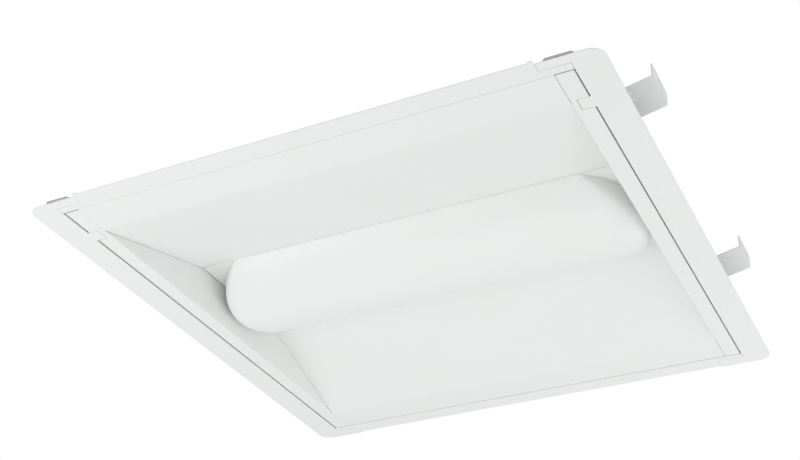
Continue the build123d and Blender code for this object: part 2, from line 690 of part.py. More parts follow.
retainer_z = lens_lip_top_z + lens_t
retainer_outer_y = lens_edge_y + lens_flange + retainer_gap
retainer_half_x = end_plate_x(lens_lip_top_z) - retainer_inset
for edge, sy in EDGES:
    with BuildPart() as lens_retainer:
        with BuildSketch(Plane.YZ):
            with BuildLine():
                Polyline((sy * lens_half_y, retainer_z), (sy * retainer_outer_y, retainer_z),
                         (sy * retainer_outer_y, retainer_z - retainer_leg))
                offset(amount=retainer_t, side=Side.LEFT if sy > 0 else Side.RIGHT)
            make_face()
        extrude(amount=retainer_half_x, both=True)
    lens_retainer.part.label = f"lens_retainer_{edge}"
    export_step(lens_retainer.part, f"parts/lens_retainer_{edge}.step")

plate_x0 = strip_inner_x - 3 * corner_plate_margin
plate_x1 = door_half_x - sheet_t - corner_plate_margin
plate_y0 = crease_y + 2 * corner_plate_margin
plate_y1 = door_half_y - sheet_t - corner_plate_margin
with BuildPart() as door_corner_plates:
    with BuildSketch(Plane.XY.offset(door_back_z)):
        with Locations([(sx * (plate_x0 + plate_x1) / 2, sy * (plate_y0 + plate_y1) / 2)
                        for _, sx in SIDES for _, sy in EDGES]):
            Rectangle(plate_x1 - plate_x0, plate_y1 - plate_y0)
    extrude(amount=corner_plate_t)
door_corner_plates.part.label = "door_corner_plates"
export_step(door_corner_plates.part, "parts/door_corner_plates.step")

for side, sx in SIDES:
    with BuildPart() as catch_stud:
        with Locations((sx * catch_x, catch_y, door_back_z)):
            Cylinder(stud_base_r, stud_base_t, align=(Align.CENTER, Align.CENTER, Align.MIN))
            Cylinder(stud_neck_r, stud_ball_height, align=(Align.CENTER, Align.CENTER, Align.MIN))
        with Locations((sx * catch_x, catch_y, door_back_z + stud_ball_height)):
            Sphere(stud_ball_r)
    catch_stud.part.label = f"catch_stud_{side}"
    export_step(catch_stud.part, f"parts/catch_stud_{side}.step")

# ======================================================================================
# Brackets that slide in their seats above the housing's ends
# ======================================================================================
bracket_outer_z = bracket_plate_z(bracket_outer_x)
bracket_top_z = bracket_outer_z + bracket_tab_height
slot_z = (bracket_outer_z + bracket_top_z) / 2
for side, sx in SIDES:
    for edge, sy in EDGES:
        with BuildPart() as bracket:
            with BuildSketch(Plane.XZ.offset(-sy * bracket_y)):
                with BuildLine():
                    Polyline(
                        (sx * bracket_inner_x, bracket_flat_z),
                        (sx * bracket_bend_x, bracket_flat_z),
                        (sx * bracket_outer_x, bracket_outer_z),
                        (sx * bracket_outer_x, bracket_top_z),
                    )
                    offset(amount=bracket_t, side=Side.LEFT if sx > 0 else Side.RIGHT)
                make_face()
            extrude(amount=bracket_width / 2, both=True)
            tab_corners = edges().filter_by(Axis.X).group_by(Axis.Z)[-1]
            chamfer(tab_corners, bracket_tab_chamfer)
            with BuildSketch(Plane.XY.offset(bracket_flat_z)):
                with Locations((sx * (clamp_x + bracket_travel / 2), sy * bracket_y)):
                    SlotCenterToCenter(bracket_travel, 2 * (clamp_r + clamp_slot_fit))
            extrude(amount=bracket_t, mode=Mode.SUBTRACT)
            with BuildSketch(Plane.YZ.offset(sx * bracket_outer_x)):
                with Locations((sy * bracket_y, slot_z)):
                    SlotOverall(tab_slot_length, tab_slot_width)
            extrude(amount=2 * bracket_t, both=True, mode=Mode.SUBTRACT)
            with Locations([(sx * bracket_pilot_x, sy * bracket_y + dy, bracket_plate_z(bracket_pilot_x))
                            for dy in bracket_pilot_offsets]):
                Cylinder(bracket_pilot_r, 4 * bracket_t, mode=Mode.SUBTRACT)
        bracket.part.label = f"bracket_{edge}_{side}"
        export_step(bracket.part, f"parts/bracket_{edge}_{side}.step")

        with BuildPart() as bracket_seat:
            with BuildSketch(Plane.XZ.offset(-sy * bracket_y)):
                with BuildLine():
                    Polyline((sx * pan_half_x, seat_foot_z), (sx * pan_half_x, seat_top_z - seat_t),
                             (sx * seat_inner_x, seat_top_z - seat_t))
                    offset(amount=seat_t, side=Side.RIGHT if sx > 0 else Side.LEFT)
                make_face()
            extrude(amount=bracket_width / 2, both=True)
            with Locations((sx * clamp_x, sy * bracket_y, seat_top_z)):
                Cylinder(clamp_r + screw_fit, 4 * seat_t, mode=Mode.SUBTRACT)
            with Locations([(sx * pan_half_x, sy * bracket_y + dy, seat_screw_z)
                            for dy in (-seat_screw_offset_y, seat_screw_offset_y)]):
                Cylinder(screw_hole_r, 4 * seat_t, rotation=(0, 90, 0), mode=Mode.SUBTRACT)
        bracket_seat.part.label = f"bracket_seat_{edge}_{side}"
        export_step(bracket_seat.part, f"parts/bracket_seat_{edge}_{side}.step")

with BuildPart() as clamp_screws:
    head_z = bracket_flat_z + bracket_t + seat_gap
    nut_z = seat_top_z - seat_t
    for _, sx in SIDES:
        with Locations([(sx * clamp_x, sy * bracket_y, 0) for _, sy in EDGES]):
            with Locations((0, 0, head_z)):
                Cylinder(clamp_head_r, clamp_head_t, align=(Align.CENTER, Align.CENTER, Align.MIN))
            with Locations((0, 0, nut_z - clamp_nut_t)):
                Cylinder(clamp_r, head_z - nut_z + clamp_nut_t, align=(Align.CENTER, Align.CENTER, Align.MIN))
                Cylinder(clamp_nut_r, clamp_nut_t, align=(Align.CENTER, Align.CENTER, Align.MIN))
clamp_screws.part.label = "clamp_screws"
export_step(clamp_screws.part, "parts/clamp_screws.step")

with BuildPart() as seat_screws:
    for _, sx in SIDES:
        points = [(sy * bracket_y + dy, seat_screw_z) for _, sy in EDGES
                  for dy in (-seat_screw_offset_y, seat_screw_offset_y)]
        with BuildSketch(Plane.YZ.offset(sx * (pan_half_x + seat_t))):
            with Locations(points):
                Circle(screw_head_r)
        extrude(amount=sx * screw_head_t)
        with BuildSketch(Plane.YZ.offset(sx * (pan_half_x + seat_t))):
            with Locations(points):
                Circle(screw_r)
        extrude(amount=-sx * (seat_t + sheet_t))
seat_screws.part.label = "seat_screws"
export_step(seat_screws.part, "parts/seat_screws.step")
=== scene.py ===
"""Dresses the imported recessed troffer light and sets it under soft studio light.

+X runs along the lens, +Y across it and +Z up into the ceiling, in metres. The room is
below. The front, -Y, is the side where the door is hinged.
"""

import logging
import math
from dataclasses import dataclass, field
from enum import Enum
from typing import Any, Callable, Optional, Sequence

import bmesh
import bpy
from mathutils import Matrix, Vector


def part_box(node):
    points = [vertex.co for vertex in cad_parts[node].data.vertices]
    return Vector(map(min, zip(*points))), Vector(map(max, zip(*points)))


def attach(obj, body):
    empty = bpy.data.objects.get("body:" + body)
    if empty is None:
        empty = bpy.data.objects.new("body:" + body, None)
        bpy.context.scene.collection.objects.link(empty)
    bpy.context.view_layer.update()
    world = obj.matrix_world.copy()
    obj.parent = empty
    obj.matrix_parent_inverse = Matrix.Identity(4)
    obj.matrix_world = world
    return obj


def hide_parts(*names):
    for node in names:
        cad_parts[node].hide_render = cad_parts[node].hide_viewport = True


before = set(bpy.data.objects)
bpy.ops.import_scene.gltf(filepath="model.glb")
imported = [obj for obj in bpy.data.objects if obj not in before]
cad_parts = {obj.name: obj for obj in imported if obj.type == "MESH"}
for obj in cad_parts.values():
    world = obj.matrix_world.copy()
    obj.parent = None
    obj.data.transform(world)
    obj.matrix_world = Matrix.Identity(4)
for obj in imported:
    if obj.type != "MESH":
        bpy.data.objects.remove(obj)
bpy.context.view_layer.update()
LOG = logging.getLogger("troffer")
MM = 0.001
WELD = 1e-6
SHARP_DEGREES = 35.0
FOLD_SHARP_DEGREES = 60.0
Point2 = tuple[float, float]
Point3 = tuple[float, float, float]


class Direction(Enum):
    """A way along an axis of the light."""

    @property
    def label(self) -> str:
        """The direction's name as the nodes' names have it."""
        return self.name.lower()


class Side(Direction):
    """The two ends of the light along X."""

    LEFT = -1
    RIGHT = 1


class Edge(Direction):
    """The two edges of the light along Y."""

    FRONT = -1
    REAR = 1


# ---------------------------------------------------------------------------------------
# Node and colour helpers
# ---------------------------------------------------------------------------------------
def srgb(code: str) -> tuple[float, float, float, float]:
    """Turn an sRGB hex colour to linear.

    Args:
        code: Colour such as "#E8EAE7".

    Returns:
        Linear red, green, blue and an alpha of 1.
    """
    parts = [int(code[i : i + 2], 16) / 255 for i in (1, 3, 5)]
    linear = [p / 12.92 if p <= 0.04045 else ((p + 0.055) / 1.055) ** 2.4 for p in parts]
    return (linear[0], linear[1], linear[2], 1.0)


def add_node(
    tree: bpy.types.NodeTree,
    kind: str,
    settings: Optional[dict[Any, Any]] = None,
    links: Optional[dict[Any, Any]] = None,
) -> Any:
    """Add a node with its settings and links.

    Args:
        tree: Tree that gets the node.
        kind: Blender's name of the node's type.
        settings: Values by attribute name, or by the name or index of an input.
        links: Output sockets by the name or index of the input they feed, or a list of
            them where the input takes more than one.

    Returns:
        The new node.
    """
    node = tree.nodes.new(kind)
    for name, value in (settings or {}).items():
        if isinstance(name, str) and hasattr(node, name):
            setattr(node, name, value)
        else:
            node.inputs[name].default_value = value
    for name, feed in (links or {}).items():
        for socket in feed if isinstance(feed, list) else [feed]:
            tree.links.new(socket, node.inputs[name])
    return node


# ---------------------------------------------------------------------------------------
# Finishes
# ---------------------------------------------------------------------------------------
@dataclass(frozen=True)
class Finish:
    """A surface finish: a base colour that varies a little, gloss that varies, and relief."""

    name: str
    slot: str
    colour: str
    second_colour: str
    patch_mm: float
    roughness: tuple[float, float]
    metallic: float = 0.0
    ior: float = 1.5
    grain_mm: float = 1.0
    grain_height_mm: float = 0.01
    wave_mm: float = 0.0
    wave_height_mm: float = 0.0
    coat: float = 0.0
    subsurface: float = 0.0
    subsurface_mm: float = 2.0
    stretch: tuple[float, float, float] = (1.0, 1.0, 1.0)
    cells: bool = False

    def build(self) -> bpy.types.Material:
        """Build the node material.

        Returns:
            The new material.
        """
        material = bpy.data.materials.new(self.name)
        material.use_nodes = True
        tree = material.node_tree
        tree.nodes.clear()
        place = add_node(tree, "ShaderNodeTexCoord").outputs["Object"]
        place = add_node(
            tree, "ShaderNodeMapping", {"Scale": self.stretch}, {"Vector": place}
        ).outputs["Vector"]
        patch = self._patches(tree, place)
        tint = add_node(
            tree,
            "ShaderNodeMix",
            {"data_type": "RGBA", 6: srgb(self.colour), 7: srgb(self.second_colour)},
            {0: patch},
        ).outputs[2]
        gloss = add_node(
            tree,
            "ShaderNodeMapRange",
            {"To Min": self.roughness[0], "To Max": self.roughness[1]},
            {"Value": patch},
        ).outputs[0]
        relief = self._relief(tree, place)
        shader = add_node(
            tree,
            "ShaderNodeBsdfPrincipled",
            {
                "Metallic": self.metallic,
                "IOR": self.ior,
                "Coat Weight": self.coat,
                "Coat Roughness": 0.2,
                "Subsurface Weight": self.subsurface,
                "Subsurface Radius": (1.0, 1.0, 1.0),
                "Subsurface Scale": self.subsurface_mm * MM,
            },
            {"Base Color": tint, "Roughness": gloss, "Normal": relief},
        ).outputs[0]
        add_node(tree, "ShaderNodeOutputMaterial", links={"Surface": shader})
        return material

    def _patches(self, tree: bpy.types.NodeTree, place: Any) -> Any:
        """Add the pattern that colour and gloss follow.

        Args:
            tree: The material's tree.
            place: Coordinates in metres.

        Returns:
            Output socket from 0 to 1.
        """
        if self.cells:
            spangle = add_node(
                tree,
                "ShaderNodeTexVoronoi",
                {"Scale": 1 / (self.patch_mm * MM), "Randomness": 1.0},
                {"Vector": place},
            )
            return add_node(
                tree, "ShaderNodeSeparateColor", links={"Color": spangle.outputs["Color"]}
            ).outputs[0]
        noise = add_node(
            tree,
            "ShaderNodeTexNoise",
            {"Scale": 1 / (self.patch_mm * MM), "Detail": 3.0, "Roughness": 0.5},
            {"Vector": place},
        ).outputs[0]
        return add_node(
            tree, "ShaderNodeMapRange", {"From Min": 0.3, "From Max": 0.7}, {"Value": noise}
        ).outputs[0]

    def _relief(self, tree: bpy.types.NodeTree, place: Any) -> Any:
        """Add the fine grain and, where there is one, the long wave of the sheet.

        Args:
            tree: The material's tree.
            place: Coordinates in metres.

        Returns:
            Output socket with the normal.
        """
        grain = add_node(
            tree,
            "ShaderNodeTexNoise",
            {"Scale": 1 / (self.grain_mm * MM), "Detail": 2.0},
            {"Vector": place},
        ).outputs[0]
        normal = add_node(
            tree,
            "ShaderNodeBump",
            {"Strength": 1.0, "Distance": self.grain_height_mm * MM},
            {"Height": grain},
        ).outputs[0]
        if self.wave_height_mm == 0.0:
            return normal
        wave = add_node(
            tree,
            "ShaderNodeTexNoise",
            {"Scale": 1 / (self.wave_mm * MM), "Detail": 0.0},
            {"Vector": place},
        ).outputs[0]
        return add_node(
            tree,
            "ShaderNodeBump",
            {"Strength": 1.0, "Distance": self.wave_height_mm * MM},
            {"Height": wave, "Normal": normal},
        ).outputs[0]


# Satin polyester powder coat: the eye sees a soft sheen over a faint orange peel.
POWDER_COAT = Finish(
    "white_powder_coat", "white_paint", "#E9ECEB", "#E8EBE9", 90.0, (0.42, 0.5),
    grain_mm=1.6, grain_height_mm=0.012, wave_mm=160.0, wave_height_mm=0.35,
)
# Frosted opal acrylic: milky, with a broad soft highlight and no visible grain.
OPAL = Finish(
    "opal_acrylic", "opal_acrylic", "#EDF0EF", "#ECEFED", 120.0, (0.36, 0.42), ior=1.49,
    grain_mm=0.8, grain_height_mm=0.004, subsurface=0.25, subsurface_mm=3.0,
)
# Hot-dip zinc coat: crystals of about 9 mm, each a little lighter or darker.
ZINC_SHEET = Finish(
    "galvanised_sheet", "galvanised_sheet", "#A9ABAB", "#C3C5C5", 9.0, (0.34, 0.5),
    metallic=1.0, grain_mm=2.0, grain_height_mm=0.02, cells=True,
)
# Bright zinc plate on a screw or pin: smooth and slightly blue.
ZINC_PLATE = Finish(
    "bright_zinc_plate", "zinc_steel", "#C4C7CB", "#B7BABF", 3.0, (0.22, 0.34),
    metallic=1.0, grain_mm=0.4, grain_height_mm=0.004,
)
# Rolled spring steel: faint drawn lines along its length.
SPRING_STEEL = Finish(
    "rolled_spring_steel", "spring_steel", "#9FA1A4", "#8C8F93", 4.0, (0.25, 0.35),
    metallic=1.0, grain_mm=0.5, grain_height_mm=0.006, stretch=(0.2, 1.0, 1.0),
)
# Mill-finish extruded aluminium: die lines along X.
MILL_ALUMINIUM = Finish(
    "mill_aluminium", "retainer_aluminium", "#D3D5D7", "#C8CACC", 12.0, (0.3, 0.42),
    metallic=1.0, grain_mm=0.5, grain_height_mm=0.008, stretch=(0.03, 1.0, 1.0),
)
# White solder resist over the board's copper: smooth with a wet-looking coat.
WHITE_RESIST = Finish(
    "white_solder_resist", "board_aluminium", "#F2F2EE", "#ECEDE8", 6.0, (0.3, 0.38),
    grain_mm=0.6, grain_height_mm=0.005, coat=0.4,
)
# Silicone loaded with yellow phosphor: matte and slightly granular.
PHOSPHOR = Finish(
    "yellow_phosphor", "led_phosphor", "#F0CB4E", "#E8BE3C", 0.8, (0.45, 0.6),
    ior=1.41, grain_mm=0.2, grain_height_mm=0.006, subsurface=0.2, subsurface_mm=0.4,
)
# White moulded polycarbonate: spark-eroded texture, fine enough to read as matte.
DRIVER_PLASTIC = Finish(
    "white_polycarbonate", "driver_case", "#E6E6E3", "#E1E1DD", 14.0, (0.5, 0.62),
    ior=1.58, grain_mm=0.5, grain_height_mm=0.02,
)
# Unfilled nylon of the board connectors: warm white, slightly waxy.
NYLON = Finish(
    "natural_nylon", "connector_plastic", "#E9E6DB", "#E2DFD2", 5.0, (0.38, 0.5),
    ior=1.53, grain_mm=0.4, grain_height_mm=0.01, subsurface=0.15, subsurface_mm=0.8,
)
# Glossy moulded polyamide of the terminal block.
TERMINAL_PLASTIC = Finish(
    "grey_polyamide", "terminal_plastic", "#D6D6D2", "#CFCFCA", 8.0, (0.25, 0.36),
    ior=1.53, grain_mm=0.6, grain_height_mm=0.006,
)
# Machined brass: warm yellow with turning marks too fine to part.
BRASS = Finish(
    "machined_brass", "earth_brass", "#D0AC62", "#C39E55", 2.0, (0.22, 0.34),
    metallic=1.0, grain_mm=0.3, grain_height_mm=0.004,
)
# Black EPDM rubber: dull, with a dry bloom in patches.
RUBBER = Finish(
    "black_rubber", "grommet_rubber", "#1B1B1B", "#262626", 5.0, (0.6, 0.78),
    ior=1.52, grain_mm=0.5, grain_height_mm=0.015,
)


class Paintbox:
    """Builds each finish once and dresses pieces with it."""

    def __init__(self) -> None:
        """Start with nothing built."""
        self._made: dict[str, bpy.types.Material] = {}

    def material(self, finish: Finish) -> bpy.types.Material:
        """Give the material of a finish.

        Args:
            finish: The finish.

        Returns:
            Its material, built on first use.
        """
        if finish.name not in self._made:
            self._made[finish.name] = finish.build()
        return self._made[finish.name]

    def dress(self, piece: bpy.types.Object, finish: Finish) -> None:
        """Put a finish on the whole of a piece.

        Args:
            piece: The piece.
            finish: The finish.
        """
        piece.data.materials.clear()
        piece.data.materials.append(self.material(finish))


# ---------------------------------------------------------------------------------------
# Mesh helpers
# ---------------------------------------------------------------------------------------
def link_mesh(name: str, mesh: bpy.types.Mesh) -> bpy.types.Object:
    """Put a mesh in the scene as an object at the origin.

    Args:
        name: The piece's name.
        mesh: Its mesh.

    Returns:
        The new object.
    """
    piece = bpy.data.objects.new(name, mesh)
    bpy.context.scene.collection.objects.link(piece)
    return piece


def from_bmesh(
    name: str, shape: bmesh.types.BMesh, sharp_degrees: float = SHARP_DEGREES
) -> bpy.types.Object:
    """Turn a bmesh to a piece with outward normals and smooth shading up to an angle.

    Args:
        name: The piece's name.
        shape: The bmesh, freed afterwards.
        sharp_degrees: Edges that bend more than this stay sharp.

    Returns:
        The new object.
    """
    bmesh.ops.recalc_face_normals(shape, faces=shape.faces)
    mesh = bpy.data.meshes.new(name)
    shape.to_mesh(mesh)
    shape.free()
    for polygon in mesh.polygons:
        polygon.use_smooth = True
    mesh.set_sharp_from_angle(angle=math.radians(sharp_degrees))
    return link_mesh(name, mesh)


def soften(piece: bpy.types.Object, width: float, segments: int = 2, limit: float = 40.0) -> None:
    """Round a piece's edges with a live bevel.

    Args:
        piece: The piece.
        width: Bevel width in metres.
        segments: Faces across the rounding.
        limit: Least bend, in degrees, of an edge that gets it.
    """
    bevel = piece.modifiers.new("edge_rounding", "BEVEL")
    bevel.width = width
    bevel.segments = segments
    bevel.limit_method = "ANGLE"
    bevel.angle_limit = math.radians(limit)
    bevel.harden_normals = True


def merged_copy(node: str, name: str, limit: float = 0.3) -> bpy.types.Object:
    """Copy a CAD node's mesh, join its loose triangles and clear its flat faces.

    Args:
        node: The CAD node.
        name: The new piece's name.
        limit: Greatest bend, in degrees, that counts as flat.

    Returns:
        The new object.
    """
    shape = bmesh.new()
    shape.from_mesh(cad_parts[node].data)
    bmesh.ops.remove_doubles(shape, verts=shape.verts, dist=WELD)
    bmesh.ops.dissolve_limit(
        shape, angle_limit=math.radians(limit), verts=shape.verts, edges=shape.edges
    )
    return from_bmesh(name, shape)


@dataclass
class FoldedSheet:
    """A sheet folded along parallel lines, given by the path of one face across the folds.

    The path lies in a plane across the folds. The sheet's thickness lies on the left of
    the path. Folds are arcs about a common centre, so both faces stay parallel.
    """

    path: Sequence[Point2]
    thickness: float
    fold_radius: float
    fold_steps: int = 6

    def samples(self) -> list[tuple[Vector, Vector]]:
        """Walk the path with its folds.

        Returns:
            Points on the path with the unit vector towards the other face.
        """
        points = [Vector(p) for p in self.path]
        found: list[tuple[Vector, Vector]] = []
        for index, point in enumerate(points):
            if index in (0, len(points) - 1):
                along = points[1] - points[0] if index == 0 else points[-1] - points[-2]
                found.append((point, self._left(along)))
                continue
            before = (point - points[index - 1]).normalized()
            after = (points[index + 1] - point).normalized()
            turn = math.atan2(before.x * after.y - before.y * after.x, before.dot(after))
            radius = self.fold_radius + (self.thickness if turn > 0 else 0.0)
            cut = radius * math.tan(abs(turn) / 2)
            start = point - before * cut
            centre = start + self._left(before) * math.copysign(radius, turn)
            for step in range(self.fold_steps + 1):
                angle = turn * step / self.fold_steps
                arm = (start - centre).copy()
                arm.rotate(Matrix.Rotation(angle, 2))
                heading = before.copy()
                heading.rotate(Matrix.Rotation(angle, 2))
                found.append((centre + arm, self._left(heading)))
        return found

    @staticmethod
    def _left(heading: Vector) -> Vector:
        """Give the unit vector to the left of a heading."""
        unit = heading.normalized()
        return Vector((-unit.y, unit.x))

    def extrude(
        self, name: str, stations: Sequence[float], place: Callable[[float, float, float], tuple]
    ) -> bpy.types.Object:
        """Carry the folded section along its folds.

        Args:
            name: The piece's name.
            stations: Places along the folds.
            place: Turns a station and the section's two coordinates into a point.

        Returns:
            The closed piece.
        """
        samples = self.samples()
        loop = [p for p, _ in samples] + [p + n * self.thickness for p, n in reversed(samples)]
        count, last = len(loop), len(samples) * 2 - 1
        shape = bmesh.new()
        rings = [[shape.verts.new(place(s, p.x, p.y)) for p in loop] for s in stations]
        for near, far in zip(rings, rings[1:]):
            for i in range(count):
                j = (i + 1) % count
                shape.faces.new((near[i], near[j], far[j], far[i]))
        for ring in (rings[0], rings[-1]):
            for i in range(len(samples) - 1):
                shape.faces.new((ring[i], ring[i + 1], ring[last - i - 1], ring[last - i]))
        return from_bmesh(name, shape, FOLD_SHARP_DEGREES)


# ---------------------------------------------------------------------------------------
# Geometry Nodes
# ---------------------------------------------------------------------------------------
MATH = "ShaderNodeMath"
XYZ = "ShaderNodeCombineXYZ"
Step = tuple[str, str, dict[Any, Any], dict[Any, Any]]


@dataclass
class NodeShape:
    """A tree of nodes that shapes a carrier mesh by named inputs."""

    name: str
    tree: Any = field(init=False)
    sockets: dict[str, str] = field(init=False, default_factory=dict)
    known: dict[str, Any] = field(init=False, default_factory=dict)

    def __post_init__(self) -> None:
        """Open the tree with its geometry sockets."""
        self.tree = bpy.data.node_groups.new(self.name, "GeometryNodeTree")
        face = self.tree.interface
        face.new_socket("Geometry", in_out="INPUT", socket_type="NodeSocketGeometry")
        face.new_socket("Geometry", in_out="OUTPUT", socket_type="NodeSocketGeometry")

    def open(self, sizes: dict[str, float], materials: Sequence[str]) -> None:
        """Add the named inputs.

        Args:
            sizes: Default values by name.
            materials: Names of the material inputs.
        """
        for name in (*sizes, *materials):
            kind = "NodeSocketFloat" if name in sizes else "NodeSocketMaterial"
            socket = self.tree.interface.new_socket(name, in_out="INPUT", socket_type=kind)
            if name in sizes:
                socket.default_value = sizes[name]
            self.sockets[name] = socket.identifier
        inlet = self.tree.nodes.new("NodeGroupInput")
        self.known = {socket.name: socket for socket in inlet.outputs if socket.name}

    def grow(self, *steps: Step) -> None:
        """Add nodes in order.

        Args:
            steps: For each node a name, Blender's name of its type, its settings, and the
                names of the outputs that feed its inputs. A node's first output goes by the
                node's name, and each of its outputs by NODE.OUTPUT.
        """
        for name, kind, settings, links in steps:
            feeds = {
                key: [self.known[part] for part in feed.split("+")] for key, feed in links.items()
            }
            node = add_node(self.tree, kind, settings, feeds)
            self.known[name] = node.outputs[0]
            self.known.update({f"{name}.{output.name}": output for output in node.outputs})

    def set_on_points(self, shape: str) -> None:
        """Set a shape on each point, its Z along the point's axis, as real geometry.

        Args:
            shape: Name of the shape's output. The result goes by the name real.
        """
        self.grow(
            (
                "axis",
                "GeometryNodeInputNamedAttribute",
                {"data_type": "FLOAT_VECTOR", "Name": "axis"},
                {},
            ),
            ("turn", "FunctionNodeAlignRotationToVector", {"axis": "Z"}, {"Vector": "axis"}),
            (
                "placed",
                "GeometryNodeInstanceOnPoints",
                {},
                {"Points": "Geometry", "Instance": shape, "Rotation": "turn"},
            ),
            ("real", "GeometryNodeRealizeInstances", {}, {0: "placed"}),
        )

    def close(self, finished: str) -> None:
        """Send the finished geometry out of the tree.

        Args:
            finished: Name of its output.
        """
        outlet = self.tree.nodes.new("NodeGroupOutput")
        self.tree.links.new(self.known[finished], outlet.inputs[0])

    def run(
        self, piece: str, carrier: bpy.types.Mesh, values: dict[str, Any], sharp_degrees: float
    ) -> bpy.types.Object:
        """Run the tree on a carrier mesh and keep the result as a plain mesh.

        Args:
            piece: Name of the new piece.
            carrier: Mesh that the tree starts from.
            values: Input values by name.
            sharp_degrees: Edges that bend more than this stay sharp.

        Returns:
            The new piece, with no modifier on it.
        """
        holder = link_mesh(piece + "_carrier", carrier)
        modifier = holder.modifiers.new("shape", "NODES")
        modifier.node_group = self.tree
        for name, value in values.items():
            modifier[self.sockets[name]] = value
        graph = bpy.context.evaluated_depsgraph_get()
        mesh = bpy.data.meshes.new_from_object(
            holder.evaluated_get(graph), preserve_all_data_layers=True, depsgraph=graph
        )
        holder.modifiers.remove(modifier)
        bpy.data.objects.remove(holder)
        mesh.name = piece
        mesh.set_sharp_from_angle(angle=math.radians(sharp_degrees))
        return link_mesh(piece, mesh)


def seats_mesh(name: str, seats: Sequence[tuple[Vector, Vector]]) -> bpy.types.Mesh:
    """Make loose points that carry an axis each.

    Args:
        name: The mesh's name.
        seats: Places and unit axes.

    Returns:
        The mesh, with a vector attribute named axis.
    """
    mesh = bpy.data.meshes.new(name)
    mesh.from_pydata([tuple(p) for p, _ in seats], [], [])
    axis = mesh.attributes.new("axis", "FLOAT_VECTOR", "POINT")
    for index, (_, direction) in enumerate(seats):
        axis.data[index].vector = tuple(direction)
    return mesh


class ScrewShape(NodeShape):
    """A pan-head screw with a cross recess, set on each point along its axis.

    The head's underside is at the point and the shank runs back from it.
    """

    def __init__(self) -> None:
        """Build the tree: a flattened ball less a cross, and a shank."""
        super().__init__("pan_head_screws")
        self.open(
            {
                "Head Radius": 3.4 * MM,
                "Head Height": 2.2 * MM,
                "Shank Radius": 1.7 * MM,
                "Shank Length": 3.0 * MM,
            },
            ["Finish"],
        )
        self.grow(
            ("place", "GeometryNodeInputPosition", {}, {}),
            ("at", "ShaderNodeSeparateXYZ", {}, {0: "place"}),
            ("x2", MATH, {"operation": "MULTIPLY"}, {0: "at.X", 1: "at.X"}),
            ("y2", MATH, {"operation": "MULTIPLY"}, {0: "at.Y", 1: "at.Y"}),
            ("out2", MATH, {"operation": "ADD"}, {0: "x2", 1: "y2"}),
            ("rim2", MATH, {"operation": "MULTIPLY"}, {0: "Head Radius", 1: "Head Radius"}),
            ("ratio", MATH, {"operation": "DIVIDE"}, {0: "out2", 1: "rim2"}),
            ("steep", MATH, {"operation": "POWER", 1: 3.0}, {0: "ratio"}),
            ("flat", MATH, {"operation": "SUBTRACT", 0: 1.0}, {1: "steep"}),
            ("dome", MATH, {"operation": "MAXIMUM", 1: 0.0}, {0: "flat"}),
            ("crown", MATH, {"operation": "MULTIPLY"}, {0: "dome", 1: "Head Height"}),
            ("upper", MATH, {"operation": "GREATER_THAN", 1: 0.0}, {0: "at.Z"}),
            ("level", MATH, {"operation": "MULTIPLY"}, {0: "crown", 1: "upper"}),
            ("moved", XYZ, {}, {0: "at.X", 1: "at.Y", 2: "level"}),
            (
                "ball",
                "GeometryNodeMeshUVSphere",
                {"Segments": 28, "Rings": 16},
                {"Radius": "Head Radius"},
            ),
            ("bent", "GeometryNodeSetPosition", {}, {"Geometry": "ball", "Position": "moved"}),
            ("head", "GeometryNodeMergeByDistance", {"Distance": WELD}, {0: "bent"}),
            ("long", MATH, {"operation": "MULTIPLY", 1: 1.05}, {0: "Head Radius"}),
            ("wide", MATH, {"operation": "MULTIPLY", 1: 0.24}, {0: "Head Radius"}),
            ("lift", XYZ, {}, {2: "Head Height"}),
            ("size_x", XYZ, {}, {0: "long", 1: "wide", 2: "Head Height"}),
            ("size_y", XYZ, {}, {0: "wide", 1: "long", 2: "Head Height"}),
            ("bar_x", "GeometryNodeMeshCube", {}, {"Size": "size_x"}),
            ("bar_y", "GeometryNodeMeshCube", {}, {"Size": "size_y"}),
            ("arm_x", "GeometryNodeTransform", {}, {"Geometry": "bar_x", "Translation": "lift"}),
            ("arm_y", "GeometryNodeTransform", {}, {"Geometry": "bar_y", "Translation": "lift"}),
            (
                "cut",
                "GeometryNodeMeshBoolean",
                {"operation": "DIFFERENCE", "solver": "EXACT"},
                {"Mesh 1": "head", "Mesh 2": "arm_x+arm_y"},
            ),
            (
                "rod",
                "GeometryNodeMeshCylinder",
                {"Vertices": 20},
                {"Radius": "Shank Radius", "Depth": "Shank Length"},
            ),
            ("half", MATH, {"operation": "MULTIPLY", 1: -0.5}, {0: "Shank Length"}),
            ("sink", XYZ, {}, {2: "half"}),
            ("shank", "GeometryNodeTransform", {}, {"Geometry": "rod", "Translation": "sink"}),
            ("screw", "GeometryNodeJoinGeometry", {}, {0: "cut+shank"}),
        )
        self.set_on_points("screw")
        self.grow(
            ("dressed", "GeometryNodeSetMaterial", {}, {"Geometry": "real", "Material": "Finish"})
        )
        self.close("dressed")


